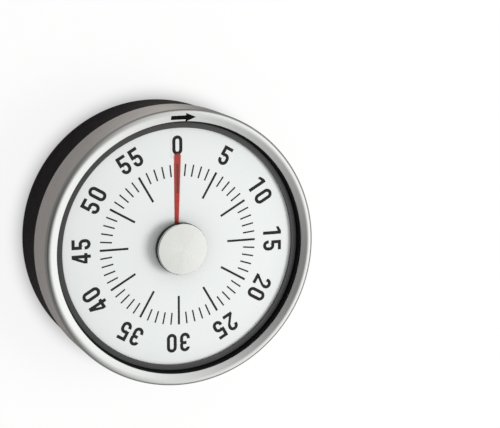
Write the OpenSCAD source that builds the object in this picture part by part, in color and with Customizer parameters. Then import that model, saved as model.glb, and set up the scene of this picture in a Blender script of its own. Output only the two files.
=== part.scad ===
// Visual countdown timer, lying on its back.
// Origin: centre of the back face. +Z points out of the dial, +Y towards the 0 mark.
// Turning the steel ring clockwise winds the movement and draws a red film out of a slit
// in the dial. The film and the dial are two screw surfaces of the same lead, so the film
// slides over the dial from the slit on and under it before the slit.

/* [Steel ring] */
// Outer radius of the ring
ring_r = 39; // [38.8:0.1:41]
// Height of the ring's crest above the back
ring_top = 28.8; // [28.4:0.1:30]
// Height of the ring's rear edge above the back
ring_bottom = 16.4; // [16.2:0.1:18]
// Thickness of the pressed sheet
ring_sheet = 0.5; // [0.4:0.1:0.6]
// Inner radius of the dished face
face_inner_r = 35.6; // [35.5:0.1:36]
// How far the face falls from its crest to its inner edge
face_drop = 0.7; // [0.5:0.05:0.8]
// Radius of the rolled outer edge
ring_edge_r = 1.4; // [1.2:0.05:1.5]

/* [Housing] */
// Outer radius of the black housing
housing_r = 38.4; // [38:0.1:38.8]
// Height of the housing's open mouth
housing_h = 15.9; // [15:0.1:16]
// Thickness of the back wall
back_wall = 2; // [1.5:0.1:2.4]
// Rounding of the rear edge
rear_edge_r = 0.8; // [0.4:0.1:1.2]
// Radius of the magnet in the back
magnet_r = 10.9; // [6:0.1:11]
// Thickness of the magnet
magnet_t = 2.8; // [2:0.1:3]

/* [Dial] */
// Radius of the white dial
dial_r = 33.65; // [33.4:0.05:33.7]
// Mean height of the dial's face
dial_z = 25; // [24.9:0.1:25.2]
// Thickness of the dial sheet
dial_t = 0.25; // [0.2:0.01:0.26]
// Height of the dark rim above the highest place of the dial
rim_rise = 0.7; // [0.6:0.05:0.9]
// How far the rim's lip reaches in over the edge of the dial
rim_lap = 0.15; // [0.1:0.01:0.2]
// Distance of the slit to the left of the 0 mark
slit_x = 1.15; // [1.1:0.01:1.2]
// Distance of the cut to the left of the 0 numeral, beyond the slit
rim_cut_x = 2.2; // [2:0.1:2.6]
// Radius at which the slit steps over to the rim cut
slit_end_r = 24.8; // [24.4:0.1:25]

/* [Printed marks] */
// How far the centre of the print lies from the axis, towards the 0 mark
print_rise = 0.55; // [0:0.05:0.6]
// Outer radius of the minute marks
mark_outer_r = 22.75; // [22:0.05:22.8]
// Length of the marks at every fifth minute
long_mark = 8.2; // [5:0.1:9]
// Length of the other marks
short_mark = 3.4; // [2:0.1:4.5]
// Width of the marks at every fifth minute
long_mark_w = 0.6; // [0.3:0.05:0.7]
// Width of the other marks
short_mark_w = 0.4; // [0.2:0.05:0.5]
// Radius of the middle of the numerals
numeral_r = 28; // [27.9:0.05:28.3]
// Height of a digit
digit_h = 5.4; // [5:0.1:5.5]
// Width of a digit
digit_w = 2.9; // [2.7:0.05:3]
// Stroke of a digit
stroke = 0.9; // [0.8:0.05:1]
// Space between two digits
digit_space = 1; // [0.6:0.1:1.1]
// Length of the arrow printed on the ring
arrow_l = 7.1; // [5:0.1:8]
// Radius of the arrow's middle
arrow_r = 36.7; // [36.5:0.05:36.9]
// Distance of the arrow's middle to the right of the 0 mark
arrow_x = 0.55; // [-2:0.05:2]

/* [Red film] */
// Outer radius of the film
film_r = 23.6; // [23:0.1:23.8]
// Thickness of the film
film_t = 0.15; // [0.1:0.01:0.15]
// Radius reached by the round tab at the film's leading edge
tab_tip_r = 26.4; // [25:0.05:26.6]
// Half the width of the tab
tab_half_w = 0.92; // [0.8:0.01:0.95]
// How much the film's leading edge leans towards the slit for each unit of radius inwards
film_lean = 0.04; // [0.02:0.005:0.05]

/* [Knob] */
// Radius of the centre knob
knob_r = 7.3; // [6:0.1:8.5]
// Height of the knob's top above the back
knob_top = 29.2; // [29:0.1:31]
// Height of the knob's head
knob_h = 2.6; // [2:0.1:2.7]

/* [Movement] */
// Radius of the movement plates
plate_r = 26; // [25.5:0.1:26.5]
// Outer radius of the bell
bell_r = 29; // [28.9:0.1:29.2]
// Teeth on each wheel of the train
wheel_teeth = 48; // [48:1:48]
// Leaves on each pinion of the train
pinion_teeth = 12; // [12:1:12]

/* [Hidden] */
$fn = 96;

run_gap = 0.05;        // radial running clearance of a shaft
seat_gap = 0.02;       // clearance of two faces that are assembled together
film_gap = 0.1;        // air between the film and the dial, above and below
ink_t = 0.05;          // thickness of printed ink
ink_sink = 0.01;       // how far the ink sinks into its ground
lead = dial_t + film_t + 2 * film_gap;  // rise of the dial and film in one turn

// Heights of what lies under the dial.
deck_top = ring_bottom + 5.9;
deck_t = 1.5;
turntable_z = deck_top + 0.6;
turntable_t = 1.1;
turntable_top = turntable_z + turntable_t;
plate_t = 1;
back_plate_z = 7.2;
front_plate_z = 17;
bell_z = 5.2;
bell_sheet = 0.8;
bell_top = 12.5;

// Radii of the nested walls, from the ring inwards.
liner_r = ring_r - ring_sheet - seat_gap;
liner_face_r = face_inner_r - 0.15;
liner_foot_r = face_inner_r - 0.45;
turntable_r = face_inner_r + 1;
cover_r = housing_r - 2;
cover_wall = 1.4;
surround_outer_r = liner_foot_r - 0.07;
surround_inner_r = dial_r + 0.25;
lip_bottom = dial_z + lead / 2 + 0.2;
surround_top = dial_z + lead / 2 + rim_rise;

hub_z = turntable_top + 0.12;
hub_h = 1.5;
post_r = 1.5;
arbor_r = 2.6;
pivot_r = 0.5;
hub_r = 3.9;

// Gear train: each pinion has its wheel's module.
main_module = 0.45;
second_module = 0.4;
third_module = 0.35;
pressure_angle = 28;
addendum = 0.85;
dedendum = 1.15;
backlash = 0.1;

function pitch_r(module_size, teeth) = module_size * teeth / 2;
function mesh_distance(module_size) =
  pitch_r(module_size, wheel_teeth) + pitch_r(module_size, pinion_teeth);
function polar(r, a) = [r * cos(a), r * sin(a)];
// Phase of a gear so that it meshes with one of phase_1 that lies at bearing a from it.
function mesh_phase(a, teeth_1, teeth_2, phase_1) =
  a + 180 - 180 / teeth_2 - (phase_1 - a) * teeth_1 / teeth_2;

second_bearing = -60;
third_bearing = 20;
escape_bearing = 100;
balance_bearing = 80;
escape_r = 5;
escape_teeth = 20;
pallet_span = 45;
pallet_gap = 0.15;
second_pos = polar(mesh_distance(main_module), second_bearing);
third_pos = second_pos + polar(mesh_distance(second_module), third_bearing);
escape_pos = third_pos + polar(mesh_distance(third_module), escape_bearing);
pallet_r = escape_r + pallet_gap;
balance_pos = escape_pos + polar(pallet_r / cos(pallet_span), balance_bearing);
hammer_pos = [-18, 8];
pillar_bearings = [65, 180, 270];
pillar_ring_r = 23;
pillar_r = 1.8;
screw_bearings = [30, 150, 270];
screw_ring_r = 32.3;
screw_r = 0.9;
rim_screw_bearings = [45 : 90 : 315];
rim_screw_ring_r = turntable_r - 0.85;
rim_screw_r = 0.4;
rim_screw_head_r = 0.75;

// ---- Shared shapes ----

module ring_at(z, r_out, r_in, h) {
  translate([0, 0, z]) linear_extrude(h) difference() {
    circle(r_out);
    circle(r_in);
  }
}

module rod(z_low, z_high, r) {
  translate([0, 0, z_low]) cylinder(r = r, h = z_high - z_low);
}

// Cross-recessed screw on the Z axis: the head sits at head_z, the shank runs towards tip_z.
module screw(head_z, tip_z, shank_r, head_r, head_h) {
  up = tip_z > head_z;
  recess_l = 1.2 * head_r;
  recess_w = 0.3 * head_r;
  translate([0, 0, head_z]) mirror([0, 0, up ? 0 : 1]) difference() {
    union() {
      cylinder(r = head_r, h = head_h);
      cylinder(r = shank_r, h = abs(tip_z - head_z));
    }
    for (size = [[recess_l, recess_w], [recess_w, recess_l]])
      translate([-size[0] / 2, -size[1] / 2, -1]) cube([size[0], size[1], 1 + 0.6 * head_h]);
  }
}

module at_bearings(bearings, r) {
  for (a = bearings) translate(concat(polar(r, a), 0)) children();
}

// Involute tooth: half the angle that it covers at radius r.
function involute_angle(r, base_r) =
  let (a = acos(min(1, base_r / r))) tan(a) * 180 / PI - a;
function half_tooth(r, pitch, base_r, teeth) =
  90 / teeth - backlash / 4 / pitch * 180 / PI
  + involute_angle(pitch, base_r) - involute_angle(max(r, base_r), base_r);

module gear_outline(module_size, teeth, phase) {
  pitch = pitch_r(module_size, teeth);
  base_r = pitch * cos(pressure_angle);
  root_r = pitch - dedendum * module_size;
  tip_r = pitch + addendum * module_size;
  flank = [root_r, (max(root_r, base_r) + pitch) / 2, pitch, (pitch + tip_r) / 2, tip_r];
  polygon([
    for (i = [0 : teeth - 1])
      let (a = phase + i * 360 / teeth)
        each concat(
          [for (r = flank) polar(r, a - half_tooth(r, pitch, base_r, teeth))],
          [for (k = [4 : -1 : 0]) polar(flank[k], a + half_tooth(flank[k], pitch, base_r, teeth))]
        )
  ]);
}

module wheel(module_size, phase, z, t, bore_r, spokes) {
  rim_r = pitch_r(module_size, wheel_teeth) - 2.8 * module_size;
  boss_r = bore_r + 1.1;
  translate([0, 0, z]) linear_extrude(t) difference() {
    gear_outline(module_size, wheel_teeth, phase);
    circle(bore_r);
    difference() {
      circle(rim_r);
      circle(boss_r);
      for (i = [0 : spokes - 1]) rotate(i * 360 / spokes)
        translate([0, -0.6]) square([rim_r + 1, 1.2]);
    }
  }
}

module pinion_arbor(module_size, phase, z, t) {
  rod(back_plate_z + 0.2, front_plate_z + 0.8, pivot_r);
  rod(back_plate_z + plate_t + 0.2, z, 1);
  translate([0, 0, z]) linear_extrude(t) gear_outline(module_size, pinion_teeth, phase);
}

// ---- Screw surface shared by the dial and the film ----

// Height of the dial's face at the clockwise angle a from the 0 mark.
function face_z(a) = dial_z - lead / 2 + lead * a / 360;
function slit_angle(r) = -asin((r < slit_end_r ? slit_x : rim_cut_x) / r);

// Sheet of the given thickness whose lower face is lifted off the dial's face.
// columns: radial rows of [radius, clockwise angle], all with the same number of points.
module screw_sheet(columns, lift, thick) {
  n = len(columns);
  m = len(columns[0]);
  points = [
    for (layer = [0, 1]) for (column = columns) for (p = column)
      [p[0] * sin(p[1]), p[0] * cos(p[1]), face_z(p[1]) + lift + layer * thick]
  ];
  function at(layer, i, j) = (layer * n + i) * m + j;
  faces = [
    for (i = [0 : n - 2]) for (j = [0 : m - 2]) each [
      [at(1, i, j), at(1, i + 1, j), at(1, i + 1, j + 1)],
      [at(1, i, j), at(1, i + 1, j + 1), at(1, i, j + 1)],
      [at(0, i, j), at(0, i + 1, j + 1), at(0, i + 1, j)],
      [at(0, i, j), at(0, i, j + 1), at(0, i + 1, j + 1)]
    ],
    for (i = [0 : n - 2]) each [
      [at(0, i, 0), at(0, i + 1, 0), at(1, i + 1, 0)],
      [at(0, i, 0), at(1, i + 1, 0), at(1, i, 0)],
      [at(0, i, m - 1), at(1, i + 1, m - 1), at(0, i + 1, m - 1)],
      [at(0, i, m - 1), at(1, i, m - 1), at(1, i + 1, m - 1)]
    ],
    for (j = [0 : m - 2]) each [
      [at(0, 0, j), at(1, 0, j), at(1, 0, j + 1)],
      [at(0, 0, j), at(1, 0, j + 1), at(0, 0, j + 1)],
      [at(0, n - 1, j), at(1, n - 1, j + 1), at(1, n - 1, j)],
      [at(0, n - 1, j), at(0, n - 1, j + 1), at(1, n - 1, j + 1)]
    ]
  ];
  polyhedron(points = points, faces = faces, convexity = 4);
}

// ---- Housing ----

module housing_shell() {
  mouth_bore_r = cover_r + 0.1;
  body_bore_r = cover_r - 1.6;
  ledge_z = 9;
  post_top = 8;
  pocket_depth = magnet_t + 1;
  color("#17161a") difference() {
    union() {
      rotate_extrude() polygon([
        [0, 0],
        for (a = [-90 : 15 : 0])
          [housing_r - rear_edge_r, rear_edge_r] + rear_edge_r * [cos(a), sin(a)],
        [housing_r, housing_h - 0.3],
        [housing_r - 0.3, housing_h],
        [mouth_bore_r, housing_h],
        [mouth_bore_r, ledge_z],
        [body_bore_r, ledge_z],
        [body_bore_r, back_wall],
        [0, back_wall]
      ]);
      rod(back_wall / 2, pocket_depth + 0.6, magnet_r + 1.6);
      at_bearings(screw_bearings, screw_ring_r) rod(back_wall / 2, post_top, 1.9);
    }
    rod(-1, pocket_depth, magnet_r + 0.1);
    at_bearings(screw_bearings, screw_ring_r) {
      rod(-1, post_top + 1, screw_r + 0.15);
      rod(-1, 1.6, 1.75);
    }
  }
}

module holding_magnet() {
  color("#3a3b3e") rotate_extrude() polygon([
    [0, 0.2],
    [magnet_r - 0.3, 0.2],
    [magnet_r, 0.5],
    [magnet_r, magnet_t],
    [0, magnet_t]
  ]);
}

module magnet_keeper() {
  color("#9a9da1") ring_at(magnet_t, magnet_r, 1.5, 0.98);
}

module inner_cover() {
  color("#222126") difference() {
    union() {
      difference() {
        rod(9, deck_top, cover_r);
        rod(0, deck_top - deck_t, cover_r - cover_wall);
      }
      at_bearings(screw_bearings, screw_ring_r) rod(8, deck_top - 1, 1.9);
      at_bearings(pillar_bearings, pillar_ring_r)
        rod(front_plate_z + plate_t, deck_top - 1, 3);
    }
    rod(0, deck_top + 1, arbor_r + 0.6);
    at_bearings(screw_bearings, screw_ring_r) rod(7, 15.5, screw_r + 0.02);
    at_bearings(pillar_bearings, pillar_ring_r) {
      rod(0, deck_top + 1, screw_r + 0.1);
      rod(deck_top - 0.9, deck_top + 1, 1.9);
    }
  }
}

module housing_screws() {
  color("#8d9094") at_bearings(screw_bearings, screw_ring_r)
    screw(0.5, 15, screw_r, 1.65, 1.08);
}

module cover_screws() {
  color("#8d9094") at_bearings(pillar_bearings, pillar_ring_r)
    screw(deck_top - 0.1, 13.5, screw_r, 1.8, 0.78);
}

// ---- Movement frame, bell and springs ----

module plate(z, centre_hole_r) {
  color("#b9a469") translate([0, 0, z]) linear_extrude(plate_t) difference() {
    circle(plate_r);
    circle(centre_hole_r);
    for (p = [second_pos, third_pos, escape_pos, balance_pos, hammer_pos])
      translate(p) circle(pivot_r + run_gap);
    for (a = pillar_bearings) translate(polar(pillar_ring_r, a)) circle(screw_r + 0.1);
  }
}

module back_plate() {
  plate(back_plate_z, post_r + seat_gap);
}

module front_plate() {
  plate(front_plate_z, arbor_r + run_gap);
}

module plate_pillars() {
  color("#c9b678") at_bearings(pillar_bearings, pillar_ring_r) difference() {
    rod(back_plate_z + plate_t, front_plate_z, pillar_r);
    rod(back_plate_z, front_plate_z + 1, screw_r + 0.02);
  }
}

module pillar_screws() {
  color("#8d9094") at_bearings(pillar_bearings, pillar_ring_r)
    screw(back_plate_z - 0.65, 11.5, screw_r, 1.7, 0.63);
}

module bell() {
  color("#b4b6b8") rotate_extrude() polygon([
    [post_r + seat_gap, bell_z],
    [bell_r - 2, bell_z],
    for (a = [-75 : 15 : 0]) [bell_r - 2, bell_z + 2] + 2 * [cos(a), sin(a)],
    [bell_r, bell_top],
    [bell_r - bell_sheet, bell_top],
    for (a = [0 : -15 : -75])
      [bell_r - 2, bell_z + 2] + (2 - bell_sheet) * [cos(a), sin(a)],
    [bell_r - 2, bell_z + bell_sheet],
    [post_r + seat_gap, bell_z + bell_sheet]
  ]);
}

module bell_nut() {
  color("#8d9094") translate([0, 0, bell_z - 0.6]) linear_extrude(0.58) difference() {
    circle(3.2, $fn = 6);
    circle(post_r + seat_gap);
  }
}

// Fixed post through the hollow arbor: a collar carries the movement above the bell,
// and the turned-down top carries the dial hub and the knob.
module centre_post() {
  color("#a9acb0") {
    rod(bell_z - 0.6, dial_z + 1.6, post_r);
    rod(bell_z + bell_sheet + seat_gap, back_plate_z - seat_gap, 3);
    rod(dial_z + 1.5, knob_top - 1.2, 1.1);
  }
}

// Flat spiral strip whose outer end runs out to the pillar at bearing 180.
module mainspring() {
  inner_r = arbor_r + 0.4;
  strip = 0.3;
  pitch = 0.95;
  turns = 6.5;
  steps = 18;
  coil = [for (i = [0 : turns * steps]) [inner_r + pitch * i / steps, 360 * i / steps]];
  outer_r = inner_r + pitch * turns;
  anchor_x = pillar_ring_r - pillar_r - seat_gap;
  color("#6b7078") translate([0, 0, 12.2]) linear_extrude(4) {
    polygon(concat(
      [for (c = coil) polar(c[0], c[1])],
      [for (i = [len(coil) - 1 : -1 : 0]) polar(coil[i][0] + strip, coil[i][1])]
    ));
    translate([-anchor_x, 0]) square([anchor_x - outer_r - strip / 3, strip]);
  }
}

// Leaf that presses the hammer arm towards the bell, with its foot on the back plate.
module hammer_spring() {
  leaf_x = hammer_pos[0] + 2.4;
  foot_z = back_plate_z + plate_t + seat_gap;
  color("#8d9094") {
    translate([leaf_x, 4, foot_z]) cube([0.3, 10, 2.8]);
    translate([leaf_x, 4, foot_z]) cube([2.4, 2, 0.4]);
  }
}

// ---- Dial and knob ----

module dial_hub() {
  color("#1b1a1d") ring_at(hub_z, hub_r, post_r + seat_gap, hub_h);
}

module dial_disc() {
  columns_n = 96;
  edge_gap = 0.05;
  radii = [hub_r - 1, hub_r + 0.3, 7, 12, 18, slit_end_r - 0.1, slit_end_r + 0.1, 29, dial_r];
  color("#f2f4f3") screw_sheet([
    for (i = [0 : columns_n]) [
      for (r = radii)
        let (start = slit_angle(r), inset = asin(edge_gap / r))
          [r, start + inset + (360 - 2 * inset) * i / columns_n]
    ]
  ], -dial_t, dial_t);
}

module minute_marks() {
  color("#2b2b2c") translate([0, print_rise, 0]) for (minute = [0 : 59]) {
    long = minute % 5 == 0;
    length = long ? long_mark : short_mark;
    width = long ? long_mark_w : short_mark_w;
    rotate(-6 * minute)
      translate([-width / 2, mark_outer_r - length, face_z(6 * minute) - ink_sink])
        cube([width, length, ink_t]);
  }
}

// Digits stand on y = 0 and start at x = 0, and each has the same width of paper.

module digit_zero() {
  r = digit_w / 2;
  difference() {
    union() {
      translate([r, r]) circle(r);
      translate([r, digit_h - r]) circle(r);
      translate([0, r]) square([digit_w, digit_h - 2 * r]);
    }
    translate([r, r]) circle(r - stroke);
    translate([r, digit_h - r]) circle(r - stroke);
    translate([stroke, r]) square([digit_w - 2 * stroke, digit_h - 2 * r]);
  }
}

module digit_one() {
  bar_x = 0.75 * digit_w - stroke;
  translate([bar_x, 0]) square([stroke, digit_h]);
  polygon([
    [0, digit_h - 1.5],
    [0, digit_h - 0.7],
    [bar_x, digit_h],
    [bar_x + stroke / 2, digit_h],
    [bar_x + stroke / 2, digit_h - 1],
    [bar_x, digit_h - 0.95]
  ]);
}

module digit_two() {
  r = digit_w / 2;
  top = digit_h - r;
  cut = 0.35;
  difference() {
    translate([r, top]) circle(r);
    translate([r, top]) circle(r - stroke);
    translate([-1, top - cut - 2 * r]) square([digit_w + 2, 2 * r]);
  }
  polygon([
    [digit_w - stroke + 0.03, top - 0.12],
    [digit_w - 0.04, top - 0.12],
    [digit_w - 0.09, top - 0.55],
    [digit_w - 0.3, top - 1],
    [1.2 * stroke, stroke],
    [stroke, stroke / 2],
    [0, stroke / 2],
    [0, 0.7 * stroke],
    [digit_w - stroke - 0.17, top - 0.9],
    [digit_w - stroke - 0.01, top - 0.55]
  ]);
  square([digit_w, stroke]);
}

module digit_three() {
  r = digit_w / 2;
  middle = digit_h / 2 + 0.15;
  pinch = 0.25;
  difference() {
    for (side = [0, 1]) {
      cy = side == 0 ? r : digit_h - r;
      difference() {
        union() {
          translate([r, cy]) circle(r);
          translate([r, min(cy, middle - 0.1)]) square([r, abs(middle - cy)]);
        }
        translate([r, cy]) circle(r - stroke);
        translate([stroke, min(cy, middle - 0.1)]) square([digit_w - 2 * stroke, abs(middle - cy)]);
        translate([-1, min(cy, middle) + (side == 0 ? 0.25 : -0.5)]) square([1 + r, 1.75]);
      }
    }
    polygon([
      [digit_w + pinch, middle - 2 * pinch],
      [digit_w - pinch, middle],
      [digit_w + pinch, middle + 2 * pinch]
    ]);
  }
  translate([r - 0.45, middle - stroke / 2]) square([r - 0.1, stroke]);
}

module digit_four() {
  bar_x = digit_w - 0.5 - stroke;
  bar_z = 0.95;
  translate([bar_x, 0]) square([stroke, digit_h]);
  translate([0, bar_z]) square([digit_w, stroke]);
  polygon([
    [0, bar_z + stroke],
    [0, bar_z],
    [0.35, bar_z],
    [bar_x + stroke / 2, digit_h - 0.7],
    [bar_x + stroke, digit_h],
    [bar_x - 0.15, digit_h]
  ]);
}

module digit_five() {
  r = digit_w / 2;
  bowl_h = 3.4;
  stem_z = 2.5;
  tail_z = r + 0.25;
  translate([0.05, digit_h - stroke]) square([digit_w - 0.15, stroke]);
  translate([0.05, stem_z]) square([stroke, digit_h - stem_z]);
  difference() {
    union() {
      translate([r, r]) circle(r);
      translate([r, bowl_h - r]) circle(r);
      translate([0, r]) square([digit_w, bowl_h - 2 * r]);
    }
    translate([r, r]) circle(r - stroke);
    translate([r, bowl_h - r]) circle(r - stroke);
    translate([stroke, r]) square([digit_w - 2 * stroke, bowl_h - 2 * r]);
    translate([-1, tail_z]) square([1 + stroke + 0.05, stem_z - tail_z]);
    translate([-1, tail_z]) square([1.05, bowl_h]);
  }
}

module digit(value) {
  if (value == 0) digit_zero();
  if (value == 1) digit_one();
  if (value == 2) digit_two();
  if (value == 3) digit_three();
  if (value == 4) digit_four();
  if (value == 5) digit_five();
}

module number(value) {
  units = value % 10;
  tens = floor(value / 10);
  pair_shift = 0.2;
  if (tens == 0) {
    translate([-digit_w / 2, 0]) digit(units);
  } else {
    translate([pair_shift - digit_space / 2 - digit_w, 0]) digit(tens);
    translate([pair_shift + digit_space / 2, 0]) digit(units);
  }
}

// The numbers lie tangent to the screw surface, so each is tipped by its slope.
module dial_numerals() {
  slope = atan(lead / (2 * PI * numeral_r));
  color("#2b2b2c") translate([0, print_rise, 0]) for (i = [0 : 11])
    rotate(-30 * i)
      translate([0, numeral_r, face_z(30 * i) - ink_sink])
        rotate([0, -slope, 0])
          linear_extrude(ink_t) translate([0, -digit_h / 2]) number(5 * i, $fn = 48);
}

module knob_body() {
  head_z = knob_top - knob_h;
  cap_z = knob_top - 0.8;
  foot_z = hub_z + hub_h + seat_gap;
  color("#151416") difference() {
    rotate_extrude() polygon([
      [0, foot_z],
      [hub_r - 0.4, foot_z],
      [hub_r - 0.4, head_z - 0.2],
      [hub_r, head_z],
      [knob_r - 0.3, head_z],
      [knob_r, head_z + 0.3],
      [knob_r, cap_z],
      [0, cap_z]
    ]);
    rod(0, dial_z + 1.62, post_r + seat_gap);
    rod(0, knob_top - 1.1, 1.1 + seat_gap);
  }
}

module knob_cap() {
  cap_r = knob_r - 0.1;
  edge = 0.3;
  color("#c9c9c6") rotate_extrude() polygon([
    [0, knob_top - 0.78],
    [cap_r, knob_top - 0.78],
    for (a = [0 : 15 : 90]) [cap_r - edge, knob_top - edge] + edge * [cos(a), sin(a)],
    [0, knob_top]
  ]);
}

// ---- Ring and what turns with it ----

// The dished face runs from its inner edge tangent to the rolled outer edge.
crest = [ring_r - ring_edge_r, ring_top - ring_edge_r];
face_edge = [face_inner_r, ring_top - face_drop];
face_run = crest - face_edge;
face_slope = atan2(face_run[1], face_run[0]) + asin(ring_edge_r / norm(face_run));

module steel_ring() {
  inner_edge_r = ring_edge_r - ring_sheet;
  color("#b9b5ae") rotate_extrude() polygon([
    [ring_r, ring_bottom],
    for (i = [0 : 12])
      let (a = (90 + face_slope) * i / 12) crest + ring_edge_r * [cos(a), sin(a)],
    face_edge,
    face_edge - [0, ring_sheet],
    for (a = [90 : -30 : 0]) crest + inner_edge_r * [cos(a), sin(a)],
    [ring_r - ring_sheet, ring_bottom]
  ]);
}

module ring_liner() {
  foot_z = ring_bottom + 0.2;
  recess_z = turntable_top + 0.02;
  face_low = ring_top - face_drop - ring_sheet - 0.05;
  color("#131214") difference() {
    rotate_extrude() polygon([
      [liner_r, foot_z],
      [liner_r, ring_top - ring_edge_r - 0.3],
      [liner_r - 0.5, ring_top - ring_edge_r - 0.1],
      [liner_face_r, face_low],
      [liner_foot_r, surround_top],
      [liner_foot_r, recess_z],
      [turntable_r + 0.05, recess_z],
      [turntable_r + 0.05, deck_top],
      [cover_r + 0.6, deck_top],
      [cover_r + 0.6, foot_z]
    ]);
    at_bearings(rim_screw_bearings, rim_screw_ring_r)
      rod(turntable_z - 1, turntable_top + 2.1, rim_screw_r + seat_gap);
  }
}

// Disc under the dial, with the dark grey rim that surrounds it. The dial is snapped in under
// the rim's lip.
module turntable() {
  color("#4a494c") difference() {
    union() {
      rod(turntable_z, turntable_top, turntable_r);
      ring_at(turntable_top - 0.1, surround_outer_r, surround_inner_r,
        surround_top - turntable_top + 0.1);
      ring_at(lip_bottom, surround_outer_r, dial_r - rim_lap, surround_top - lip_bottom);
    }
    rod(0, 40, arbor_r + seat_gap);
    at_bearings(rim_screw_bearings, rim_screw_ring_r) rod(0, 40, rim_screw_r + run_gap);
    rotate(-key_angle) translate([-key_w / 2 - 0.15, key_inner_r - 0.1, turntable_z - 1])
      cube([key_w + 0.3, key_l + 0.2, 4]);
    for (a = [60 : 60 : 300]) rotate(a) translate([0, 22, 0]) rod(0, 40, 6);
  }
}

module turntable_screws() {
  color("#8d9094") at_bearings(rim_screw_bearings, rim_screw_ring_r)
    screw(turntable_z - 0.42, turntable_top + 2, rim_screw_r, rim_screw_head_r, 0.4);
}

// Clockwise arrow, a skin of ink that follows the ring's face a little past its crest.
module direction_arrow() {
  head_l = 0.4 * arrow_l;
  shaft_w = 1.15;
  head_w = 2.5;
  arc_n = 8;
  past_crest = 25;
  function skin(lift) = concat(
    [face_edge + lift * [-sin(face_slope), cos(face_slope)]],
    [
      for (i = [0 : arc_n])
        let (a = 90 + face_slope - (face_slope + past_crest) * i / arc_n)
          crest + (ring_edge_r + lift) * [cos(a), sin(a)]
    ]
  );
  under = skin(-ink_sink);
  over = skin(ink_t - ink_sink);
  color("#0c0c0d") intersection() {
    translate([arrow_x, arrow_r, face_edge[1] - 1]) linear_extrude(3) polygon([
      [-arrow_l / 2, -shaft_w / 2],
      [arrow_l / 2 - head_l, -shaft_w / 2],
      [arrow_l / 2 - head_l, -head_w / 2],
      [arrow_l / 2, 0],
      [arrow_l / 2 - head_l, head_w / 2],
      [arrow_l / 2 - head_l, shaft_w / 2],
      [-arrow_l / 2, shaft_w / 2]
    ]);
    rotate_extrude() polygon(concat(under, [for (i = [len(over) - 1 : -1 : 0]) over[i]]));
  }
}

module main_arbor() {
  color("#a9acb0") ring_at(back_plate_z + plate_t + 0.1, arbor_r, post_r + run_gap,
    turntable_top - back_plate_z - plate_t - 0.1);
}

module main_wheel() {
  color("#c2a04c") wheel(main_module, 0, 9, 1, arbor_r + seat_gap, 5);
}

module ratchet_wheel() {
  teeth = 24;
  color("#9a9da1") translate([0, 0, 10.02]) linear_extrude(0.9) difference() {
    polygon([
      for (i = [0 : teeth - 1]) each [
        polar(6, i * 360 / teeth - 3),
        polar(5.2, i * 360 / teeth - 1.5)
      ]
    ]);
    circle(arbor_r + seat_gap);
  }
}

click_pos = polar(8.6, 205);

module click_pawl() {
  color("#9a9da1") translate([click_pos[0], click_pos[1], 10.05]) rotate(205) {
    linear_extrude(0.8) difference() {
      union() {
        circle(0.95);
        polygon([[-0.95, 0], [-3, 2.6], [-3.25, 2.3], [-0.2, -0.9]]);
      }
      circle(pivot_r + run_gap);
    }
  }
}

module click_spring() {
  color("#8d9094") translate([click_pos[0], click_pos[1], 0]) {
    rod(9.8, 10.9, pivot_r);
    rotate(205) translate([-0.3, 3.6, 10.02]) linear_extrude(0.7) square([0.25, 2.6]);
  }
}

module bell_cam() {
  color("#9a9da1") translate([0, 0, 16.35]) linear_extrude(0.5) difference() {
    circle(5);
    circle(arbor_r + seat_gap);
    rotate(156) translate([4.2, -0.6]) square([2, 1.2]);
  }
}

// ---- Red film ----

// Distance of the film's leading edge to the right of the 0 mark, up to the round of the tab.
function lead_x(r) = tab_half_w - film_lean * max(0, tab_tip_r - tab_half_w - r);
film_inner_r = hub_r + 0.3;
film_tail = -374;
// The key stands just before the film's tail, and after a full turn it is short of the slit.
key_angle = film_tail + 3;
key_inner_r = 9;
key_l = 6;
key_w = 0.6;

module countdown_film() {
  body_n = 120;
  tab_n = 8;
  rows = 5;
  tab_centre_r = tab_tip_r - tab_half_w;
  function film_r_at(k) = film_inner_r + (film_r - film_inner_r) * k / rows;
  function tab_r_at(k, u) =
    film_inner_r + (tab_centre_r + tab_half_w * sqrt(1 - u * u) - film_inner_r) * k / rows;
  color([0.79, 0.27, 0.24, 0.8]) screw_sheet([
    for (i = [0 : body_n]) [
      for (k = [0 : rows])
        let (r = film_r_at(k), last = -asin((tab_half_w + 0.02) / r))
          [r, film_tail + (last - film_tail) * i / body_n]
    ],
    for (j = [0 : tab_n]) [
      for (k = [0 : rows])
        let (u = 2 * j / tab_n - 1, r = tab_r_at(k, u), left = -tab_half_w)
          [r, asin((left + (lead_x(r) - left) * j / tab_n) / r)]
    ]
  ], film_gap, film_t);
}

// Key under the film's tail. It slides up and down in a slot of the turntable.
module film_key() {
  top = face_z(key_angle) + film_gap - 0.01;
  bottom = turntable_z + 0.1;
  color("#b33a34") rotate(-key_angle)
    translate([-key_w / 2, key_inner_r, bottom]) cube([key_w, key_l, top - bottom]);
}

// ---- Gear train ----

second_phase = mesh_phase(second_bearing, wheel_teeth, pinion_teeth, 0);
third_phase = mesh_phase(third_bearing, wheel_teeth, pinion_teeth, 0);
escape_phase = mesh_phase(escape_bearing, wheel_teeth, pinion_teeth, 0);

module second_arbor() {
  color("#a9acb0") translate(second_pos) pinion_arbor(main_module, second_phase, 8.8, 1.5);
}

module second_wheel() {
  color("#c2a04c") translate(second_pos) wheel(second_module, 0, 11.2, 0.8, pivot_r + seat_gap, 4);
}

module third_arbor() {
  color("#a9acb0") translate(third_pos)
    pinion_arbor(second_module, third_phase, 10.9, 1.4);
}

module third_wheel() {
  color("#c2a04c") translate(third_pos) wheel(third_module, 0, 13, 0.8, pivot_r + seat_gap, 4);
}

module escape_arbor() {
  color("#a9acb0") translate(escape_pos)
    pinion_arbor(third_module, escape_phase, 12.7, 1.4);
}

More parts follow.
